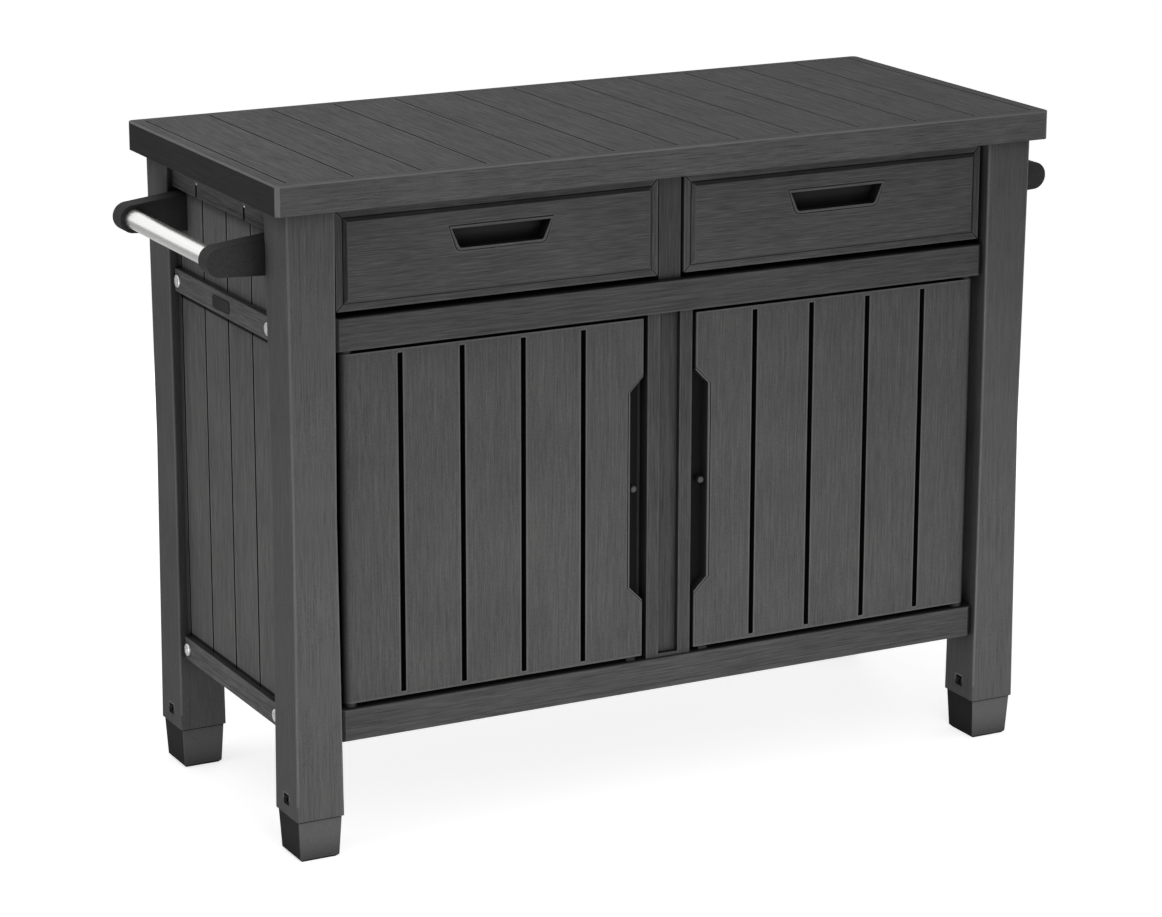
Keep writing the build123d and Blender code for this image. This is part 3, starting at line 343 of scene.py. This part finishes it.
def grained_resin(name, pattern, specks, dark, light, highlight_share, highlight_from=0.0, painted_light_marks=(), gloss=RESIN_GLOSS):
    """Moulded resin: pattern draws the streaks, and specks is the share of short marks among them.

    The share for the edges is how far outer edges above a height turn pale, as a painted highlight. The
    masks of marks are places given painted shade or a painted highlight, each in its own even colour.
    Gloss is the shader's specular level.
    """
    material, tree, place = blank_material(name)
    ridges = blend(tree, specks, pattern(tree, place), speckle(tree, place, SPECK_SIZE, detail=1.0))
    grain = blend(tree, PATCH_SHARE, ridges, speckle(tree, place, PATCH_SIZE, detail=2.0))
    colour = tone(tree, spread(tree, grain, *TINT_RANGE), linear(dark), linear(light))
    colour = paint_edge_highlights(tree, place, colour, highlight_share, highlight_from)
    # Each mark paints shade or a highlight over the grain, in an even colour.
    for mask, shade in painted_light_marks:
        colour = tone(tree, mask(tree, place), colour, linear(shade))
    colour = paint_crease_shade(tree, colour)
    rough = spread(tree, grain, *NOISE_RANGE, *GRAIN_ROUGHNESS)
    resin_skin(tree, colour, rough, ridges, RIDGE_STRENGTH, RIDGE_DEPTH, gloss)
    return material


print("resin ridges", RIDGE_DEPTH * 1000, "mm deep")

# %% [markdown]
# Those few places are found by where they are: a mask is one inside a range of a coordinate and nought
# elsewhere, and masks are joined by multiplying them, or by taking the larger. Painting the faces one by
# one would also work, but a mask needs no change to the mesh.

# %% Masks
# Slots, cuts and grooves are painted with shade in this near-black.
GROOVE_SHADE = "#0d0d0d"


def within(tree, value, middle, half):
    """One where a value lies within a distance of a middle, and nought elsewhere."""
    return calc(tree, "COMPARE", value, middle, half)


def both_of(tree, first, second):
    """The points that two masks share."""
    return calc(tree, "MULTIPLY", first, second)


def either_of(tree, first, second):
    """The points of two masks together."""
    return calc(tree, "MAXIMUM", first, second)


def away_from(tree, value, middle):
    """How far a value is from a middle, to either side."""
    return calc(tree, "ABSOLUTE", calc(tree, "SUBTRACT", value, middle))


def sides_and_level(tree, place):
    """How far out in X and in Y a point is, left or right and front or back, and its height."""
    x, y, z = add(tree, "ShaderNodeSeparateXYZ", {0: place}).outputs
    return calc(tree, "ABSOLUTE", x), calc(tree, "ABSOLUTE", y), z


print("grooves are painted", GROOVE_SHADE)

# %% [markdown]
# Each piece was moulded with its grain along its own length: upright on legs and panels, across on the
# front rails, and front to back on the side rails. The stile between the doors and the divider above it
# come from a smoother, slightly darker mould.

# %% Legs, stile and rails
legs = grained_resin("polypropylene_leg_grain", upright, specks=0.40, dark="#3e3e3f", light="#565655",
                     highlight_share=0.4, highlight_from=0.085)
stiles = grained_resin("polypropylene_stile_grain", upright, specks=0.35, dark="#2b2b2c", light="#484848",
                       highlight_share=0.05)
rails = grained_resin("polypropylene_rail_grain", across, specks=0.25, dark="#2e2e2f", light="#4b4b4b",
                      highlight_share=0.12)
sides = grained_resin("polypropylene_side_grain", front_to_back, specks=0.25, dark="#373738",
                      light="#636363", highlight_share=0.25)
dress(legs, "front_leg", "rear_leg")
dress(stiles, "centre_stile", "drawer_divider")
dress(rails, "front_mid_rail", "front_bottom_rail", "rear_bottom_rail", "rear_upper_rail",
      "floor_panel", "shelf")
dress(sides, "side_upper_rail", "side_mid_rail", "side_lower_rail")

# %% [markdown]
# The panels are moulded in one piece each. The lines between their boards are cut deep, and the side
# rails shade the strips next to them. Light alone would leave both too pale at this distance, so masks
# paint shade on them.

# %% Side and back panels
CUT_MIDDLE = 0.0026
CUT_HALF = 0.0022
BACK_MARGIN = 0.06
STRIP_UNDER_RAIL = 0.0095
STRIP_OVER_RAIL = 0.0060
PANEL_SKIN = 0.0060
panel_low, panel_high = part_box("side_panel_right")
back_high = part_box("back_panel")[1]
mid_rail_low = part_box("side_mid_rail_right")[0]
low_rail_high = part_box("side_lower_rail_right")[1]


def panel_lines(tree, place):
    """The cuts between boards, painted with shade, which lie just behind the outer faces of the side and
    back panels.
    """
    side, depth, _ = sides_and_level(tree, place)
    at_side = within(tree, side, panel_high[0] - CUT_MIDDLE, CUT_HALF)
    at_back = both_of(tree, within(tree, depth, back_high[1] - CUT_MIDDLE, CUT_HALF),
                      within(tree, side, 0, panel_low[0] - BACK_MARGIN))
    return either_of(tree, at_side, at_back)


def rail_strips(tree, place):
    """The strips of a side panel just under its mid rail and just over its lower rail, painted with the
    rails' shade.
    """
    side, _, level = sides_and_level(tree, place)
    strips = either_of(tree, within(tree, level, mid_rail_low[2], STRIP_UNDER_RAIL),
                       within(tree, level, low_rail_high[2], STRIP_OVER_RAIL))
    return both_of(tree, within(tree, side, panel_high[0], PANEL_SKIN), strips)


panels = grained_resin("polypropylene_panel_grain", upright, specks=0.40, dark="#3a3a3b", light="#666665",
                       highlight_share=0.2, painted_light_marks=[(panel_lines, GROOVE_SHADE), (rail_strips, "#161616")])
dress(panels, "side_panel", "back_panel")

# %% [markdown]
# The doors have the same upright grain with more specks. The slots between their boards are deep and
# narrow and hardly any light gets in, so a mask finds them by their place and paints them with shade, as
# black lines. Another paints shade on the fine line that runs round each finger scoop.

# %% Doors
FIRST_SLOT = 0.1390
SLOT_PITCH = 0.0945
SLOT_COUNT = 4
SLOT_HALF = 0.0042
SLOT_MARGIN = 0.0058
WALL_MIDDLE = 0.0082
WALL_HALF = 0.0072
SCOOP_DEPTH = 0.021
SCOOP_HALF = 0.166
SCOOP_LINE = 0.0036
SCOOP_LINE_HALF = 0.0008
DOOR_SKIN = 0.0012
door_low, door_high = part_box("door_moulding_right")
door_middle = (door_low[2] + door_high[2]) / 2
door_half = (door_high[2] - door_low[2]) / 2


def door_slots(tree, place):
    """The slots, painted with shade, whose walls lie between the door's face and its skin."""
    side, depth, level = sides_and_level(tree, place)
    found = within(tree, side, FIRST_SLOT, SLOT_HALF)
    for number in range(1, SLOT_COUNT):
        found = either_of(tree, found, within(tree, side, FIRST_SLOT + number * SLOT_PITCH, SLOT_HALF))
    walls = within(tree, depth, -door_low[1] - WALL_MIDDLE, WALL_HALF)
    run = within(tree, level, door_middle, door_half - SLOT_MARGIN)
    return both_of(tree, found, both_of(tree, walls, run))


def scoop_line(tree, place):
    """The fine line round the finger scoop, painted with shade, straight along its floor and slanted at its
    ends.
    """
    side, depth, level = sides_and_level(tree, place)
    straight = calc(tree, "SUBTRACT", side, door_low[0] + SCOOP_DEPTH)
    slant = calc(tree, "SUBTRACT", away_from(tree, level, door_middle), SCOOP_HALF - SCOOP_DEPTH)
    outside = calc(tree, "ADD", straight, calc(tree, "MAXIMUM", slant, 0.0))
    return both_of(tree, within(tree, outside, SCOOP_LINE, SCOOP_LINE_HALF),
                   within(tree, depth, -door_low[1], DOOR_SKIN))


doors = grained_resin("polypropylene_door_grain", upright, specks=0.50, dark="#353536", light="#525251",
                      highlight_share=0.15, painted_light_marks=[(door_slots, GROOVE_SHADE), (scoop_line, "#1e1e1e")])
dress(doors, "door_moulding")

# %% [markdown]
# The worktop carries two directions of grain: its boards run front to back, while the long rims and the
# skirt below them run across. It could be cut into pieces with a material each, but it is one moulding,
# so a mask made from the distance to its edge decides which grain shows. The short ends are smooth and
# get painted shade, and the rim gets a painted highlight all round.

# %% Worktop
RIM_FRONT = 0.0185
RIM_SIDE = 0.0220
BOARDS = 12
LINE_MARGIN = 0.002
LINE_MIDDLE = 0.0010
LINE_HALF = 0.0008
SHOULDER_HALF = 0.0015
SHOULDER_SKIN = 0.0010
END_SKIN = 0.0003
END_SHARE = 0.90
# Sizes of the painted highlight on the rim, and the height below which edges get none.
RIM_HIGHLIGHT_WIDTH = 0.0022
RIM_HIGHLIGHT_HEIGHT = 0.0024
RIM_HIGHLIGHT_CORNER = 0.0060
UNHIGHLIGHTED_HEIGHT = 0.01
top_low, top_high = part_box("table_top")
board_end = top_high[1] - RIM_FRONT
board_side = top_high[0] - RIM_SIDE
board_width = 2 * board_side / BOARDS


def worktop_grain(tree, place):
    """Boards along Y, and long rims along X."""
    _, depth, _ = sides_and_level(tree, place)
    rim = calc(tree, "GREATER_THAN", depth, board_end)
    return blend(tree, rim, front_to_back(tree, place), across(tree, place))


def shaded_worktop_ends(tree, place):
    """The two short sides of the skirt, given painted shade."""
    side, _, _ = sides_and_level(tree, place)
    return both_of(tree, within(tree, side, top_high[0], END_SKIN), END_SHARE)


def board_lines(tree, place):
    """The fine grooves round the boards and the shoulders of those between boards, all given painted shade.
    """
    side, depth, level = sides_and_level(tree, place)
    inner = both_of(tree, within(tree, side, 0, board_side + LINE_MARGIN),
                    within(tree, depth, 0, board_end + LINE_MARGIN))
    sunk = within(tree, level, top_high[2] - LINE_MIDDLE, LINE_HALF)
    from_line = calc(tree, "PINGPONG", side, board_width / 2)
    shoulder = both_of(tree, within(tree, from_line, 0, SHOULDER_HALF),
                       within(tree, level, top_high[2], SHOULDER_SKIN))
    return both_of(tree, inner, either_of(tree, sunk, shoulder))


def rim_highlight(tree, place):
    """The upper edges of the skirt and its four rounded corners, given a painted highlight."""
    side, depth, level = sides_and_level(tree, place)
    edge = either_of(tree, within(tree, depth, top_high[1], RIM_HIGHLIGHT_WIDTH),
                     within(tree, side, top_high[0], RIM_HIGHLIGHT_WIDTH))
    edge = both_of(tree, edge, within(tree, level, top_high[2], RIM_HIGHLIGHT_HEIGHT))
    corner = both_of(tree, within(tree, depth, top_high[1], RIM_HIGHLIGHT_CORNER),
                     within(tree, side, top_high[0], RIM_HIGHLIGHT_CORNER))
    return either_of(tree, edge, corner)


worktop = grained_resin("polypropylene_worktop_grain", worktop_grain, specks=0.25, dark="#3a3a3b",
                        light="#5f5f5f", highlight_share=0.3, highlight_from=top_low[2] + UNHIGHLIGHTED_HEIGHT,
                        painted_light_marks=[(shaded_worktop_ends, "#222223"), (board_lines, GROOVE_SHADE),
                                 (rim_highlight, "#6c6c6c")], gloss=0.05)
dress(worktop, "table_top")

# %% [markdown]
# On a drawer front the field and the two level strips of its mitred frame run across, and the uprights
# of the frame run up and down. Four strips with cut ends would be the joiner's way. Comparing a point's
# distance from the upright edges with that from the level ones does the same, so the mitres come out by
# themselves.

# %% Drawer fronts
FRAME_WIDTH = 0.0105
FIELD_START = 0.0158
MITRE_HALF = 0.0009
JOINT_HALF = 0.0007
PULL_LEVEL = 0.866
PULL_HALF_LENGTH = 0.0825
PULL_HALF_HEIGHT = 0.0240
PULL_MIDDLE = 0.0125
PULL_HALF_DEPTH = 0.0112
drawer_low, drawer_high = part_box("drawer_front_right")
drawer_middle = [(low + high) / 2 for low, high in zip(drawer_low, drawer_high)]


def edge_distances(tree, place):
    """How far a point of a drawer front is from its nearer upright edge, and from its nearer level one."""
    side, _, level = sides_and_level(tree, place)
    edges = []
    for value, axis in ((side, 0), (level, 2)):
        half = drawer_high[axis] - drawer_middle[axis]
        edges.append(calc(tree, "SUBTRACT", half, away_from(tree, value, drawer_middle[axis])))
    return edges


def drawer_grain(tree, place):
    """Grain along X, and along Z on the two uprights of the mitred frame."""
    upright_edge, level_edge = edge_distances(tree, place)
    frame_end = calc(tree, "MINIMUM", level_edge, FIELD_START)
    stile = calc(tree, "LESS_THAN", upright_edge, frame_end)
    return blend(tree, stile, across(tree, place), upright(tree, place))


def frame_lines(tree, place):
    """The joint between frame and field, and the mitres at the frame's corners, painted with shade."""
    upright_edge, level_edge = edge_distances(tree, place)
    nearest = calc(tree, "MINIMUM", upright_edge, level_edge)
    apart = calc(tree, "SUBTRACT", upright_edge, level_edge)
    mitre = both_of(tree, within(tree, apart, 0, MITRE_HALF), within(tree, nearest, 0, FRAME_WIDTH))
    return either_of(tree, within(tree, nearest, FRAME_WIDTH, JOINT_HALF), mitre)


def shaded_finger_pull(tree, place):
    """The inside of the pull and the fine groove round its rim, painted with shade."""
    side, depth, level = sides_and_level(tree, place)
    over = both_of(tree, within(tree, side, drawer_middle[0], PULL_HALF_LENGTH),
                   within(tree, level, PULL_LEVEL, PULL_HALF_HEIGHT))
    return both_of(tree, over, within(tree, depth, -drawer_low[1] - PULL_MIDDLE, PULL_HALF_DEPTH))


drawers = grained_resin("polypropylene_drawer_grain", drawer_grain, specks=0.25, dark="#303031",
                        light="#515151", highlight_share=0.08,
                        painted_light_marks=[(frame_lines, "#1c1c1c"), (shaded_finger_pull, "#343434")])
dress(drawers, "drawer_front")

# %% [markdown]
# ## Plain mouldings
#
# Feet, handle arms, drawer boxes, runners and linings come from moulds that were only sand-blasted, so
# they have no grain and are finely pitted. One even colour would look like paint. Fine noise that moves
# the colour, the roughness and the relief together gives the blasted look.

# %% Stippled resin
PIT_STRENGTH = 0.5
PIT_ROUGHNESS = (0.55, 0.75)


def stippled_resin(name, dark, light, pit, depth, second_tone=None, second_colour="#222223"):
    """Sand-blasted mould finish: even colour with fine pits, and painted shade in its creases. The second
    mask marks faces given a second colour.
    """
    material, tree, place = blank_material(name)
    pits = speckle(tree, place, pit, detail=2.0)
    colour = tone(tree, spread(tree, pits, *NOISE_RANGE), linear(dark), linear(light))
    if second_tone:
        colour = tone(tree, second_tone(tree, place), colour, linear(second_colour))
    colour = paint_crease_shade(tree, colour)
    rough = spread(tree, pits, 0.0, 1.0, *PIT_ROUGHNESS)
    resin_skin(tree, colour, rough, pits, PIT_STRENGTH, depth, RESIN_GLOSS)
    return material


arms = stippled_resin("polypropylene_smooth_arm", "#2c2c2d", "#3a3a3b", pit=0.0016, depth=0.0002)
works = stippled_resin("polypropylene_fine_matt", "#303031", "#3a3a3b", pit=0.0012, depth=0.0002)
pegs = stippled_resin("polypropylene_grey_peg", "#3e3e3e", "#525252", pit=0.0012, depth=0.0001)
dress(arms, "front_handle_arm", "rear_handle_arm")
dress(works, "drawer_box", "outer_runner", "inner_runner", "shelf_cleat", "door_pins", "door_catches")
dress(pegs, "door_peg")

# %% [markdown]
# The left and right faces of a foot get painted shade, darker than its front and back, and so do the
# joint under the leg, as a painted shadow, and the bevel at the base. A mask tells them apart: on a left
# or right face a point is further from the foot's middle in X than in Y, each measured in halves of its
# width.

# %% Feet
LEG_JOINT_HALF = 0.0024
BASE_HALF = 0.0034
foot_low, foot_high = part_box("front_foot_right")
leg_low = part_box("front_leg_right")[0]


def shaded_foot_faces(tree, place):
    """The left and right faces of every foot, its joint with the leg and its base, all given painted shade.
    """
    side, depth, level = sides_and_level(tree, place)
    away = []
    for axis, out in enumerate((side, depth)):
        middle = abs(foot_low[axis] + foot_high[axis]) / 2
        half = (foot_high[axis] - foot_low[axis]) / 2
        away.append(calc(tree, "DIVIDE", away_from(tree, out, middle), half))
    joints = either_of(tree, within(tree, level, leg_low[2], LEG_JOINT_HALF),
                       within(tree, level, 0, BASE_HALF))
    return either_of(tree, calc(tree, "GREATER_THAN", away[0], away[1]), joints)


# The feet's second colour, left at its default, is their painted shade.
feet = stippled_resin("polypropylene_stippled_foot", "#494949", "#595959", pit=0.0012, depth=0.0003,
                      second_tone=shaded_foot_faces)
dress(feet, "front_foot", "rear_foot")

# %% [markdown]
# The linings of the doors are grey resin. Where they floor the scoops they are painted black, as painted
# shade; behind, where they look into the cabinet, they keep their grey. They are one moulding each, so
# again a mask decides.

# %% Door linings
LINING_SKIN = 0.0005
cover_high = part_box("door_cover_right")[1]


def lining_backs(tree, place):
    """The faces of the linings that look into the cabinet."""
    _, depth, _ = sides_and_level(tree, place)
    return within(tree, depth, -cover_high[1], LINING_SKIN)


# Black on the scoop side is painted shade; the backs keep the resin's grey.
linings = stippled_resin("polypropylene_lining_scoop_shade", "#0a0a0a", "#101010", pit=0.0012, depth=0.0002,
                         second_tone=lining_backs, second_colour="#303031")
dress(linings, "door_cover")

# %% [markdown]
# ## Metal
#
# The bars are satin stainless tube, polished along their length, so highlights smear round the tube. An
# anisotropic shader could do that, but fine lines along the tube show the polish itself.

# %% Tube
POLISH_SPACING = 0.0008
POLISH_LENGTH = 0.12
satin, tree, place = blank_material("satin_stainless_steel")
lines = speckle(tree, stretched(tree, place, "Y", POLISH_SPACING, POLISH_LENGTH), size=1.0, detail=3.0)
tint = tone(tree, lines, linear("#ececea"), linear("#fafaf8"))
rough = spread(tree, lines, 0.0, 1.0, low=0.20, high=0.36)
relief = add(tree, "ShaderNodeBump", {"Height": lines, "Strength": 0.08, "Distance": 0.0001})
shell = add(tree, "ShaderNodeBsdfPrincipled", {"Base Color": tint, "Metallic": 1.0, "Roughness": rough,
                                               "Normal": relief.outputs[0]})
add(tree, "ShaderNodeOutputMaterial", {"Surface": shell.outputs[0]})
dress(satin, "handle_tube")

# %% [markdown]
# Bolts, nuts and screws are zinc plated: a duller grey, slightly blotched. Soft noise some millimetres
# wide moves both its colour and its roughness.

# %% Fasteners
BLOTCH_SIZE = 0.004
zinc, tree, place = blank_material("zinc_plated_steel")
blotches = speckle(tree, place, BLOTCH_SIZE, detail=3.0)
tint = tone(tree, blotches, linear("#d0d1d2"), linear("#f0f0f1"))
rough = spread(tree, blotches, 0.0, 1.0, low=0.26, high=0.46)
shell = add(tree, "ShaderNodeBsdfPrincipled", {"Base Color": tint, "Metallic": 1.0, "Roughness": rough})
add(tree, "ShaderNodeOutputMaterial", {"Surface": shell.outputs[0]})
dress(zinc, "rail_bolts", "sleeve_nuts", "top_screws", "handle_screws", "drawer_screws")

# %% [markdown]
# ## The bare plate
#
# On the left side, in the middle of the rail between the bolts, sits a small dark plate with rounded
# ends. It stays bare. It could be a box with a rounded edge, but a real one is a pressing with a raised
# rim, so the box gets its corners rounded, its face inset, and the inset pushed in.

# %% Choosing edges or faces
ALIGNED = 0.9


def pick(piece, mode, test):
    """Goes into edit mode with only the edges or faces that pass a test selected."""
    bpy.ops.object.mode_set(mode="EDIT")
    bpy.ops.mesh.select_all(action="DESELECT")
    bpy.ops.mesh.select_mode(type=mode)
    bpy.ops.object.mode_set(mode="OBJECT")
    mesh = piece.data
    for item in (mesh.polygons if mode == "FACE" else mesh.edges):
        item.select = test(mesh, item)
    bpy.ops.object.mode_set(mode="EDIT")


def runs_in_x(mesh, edge):
    """Whether an edge runs along X."""
    start, end = (mesh.vertices[i].co for i in edge.vertices)
    return abs(start.x - end.x) > ALIGNED * (start - end).length


def looks_left(_, face):
    """Whether a face looks to the left."""
    return face.normal.x < -ALIGNED


# %% Plate on the left rail
PLATE = (0.0010, 0.060, 0.018)
PLATE_BACK = 0.003
PLATE_LEVEL = 0.748
CORNER = 0.0045
CORNER_STEPS = 5
RIM = 0.0013
SINK = 0.0004
SMOOTH_ANGLE = 35
rail_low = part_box("side_mid_rail_left")[0]
bpy.ops.object.select_all(action="DESELECT")
bpy.ops.mesh.primitive_cube_add(size=1, location=(rail_low[0] - PLATE[0] / 2, PLATE_BACK, PLATE_LEVEL))
plate = bpy.context.object
plate.name = "bare_plate_left"
plate.scale = PLATE
bpy.ops.object.transform_apply(location=True, rotation=True, scale=True)
pick(plate, "EDGE", runs_in_x)
bpy.ops.mesh.bevel(offset=CORNER, segments=CORNER_STEPS, affect="EDGES")
bpy.ops.object.mode_set(mode="OBJECT")
pick(plate, "FACE", looks_left)
bpy.ops.mesh.inset(thickness=RIM)
bpy.ops.transform.translate(value=(SINK, 0, 0))
bpy.ops.object.mode_set(mode="OBJECT")
bpy.ops.object.shade_smooth_by_angle(angle=math.radians(SMOOTH_ANGLE))
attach(plate, "cabinet")
plate_resin = stippled_resin("polypropylene_plate", "#262627", "#303031", pit=0.0012, depth=0.0001)
plate.data.materials.append(plate_resin)
print("plate", len(plate.data.polygons), "faces")
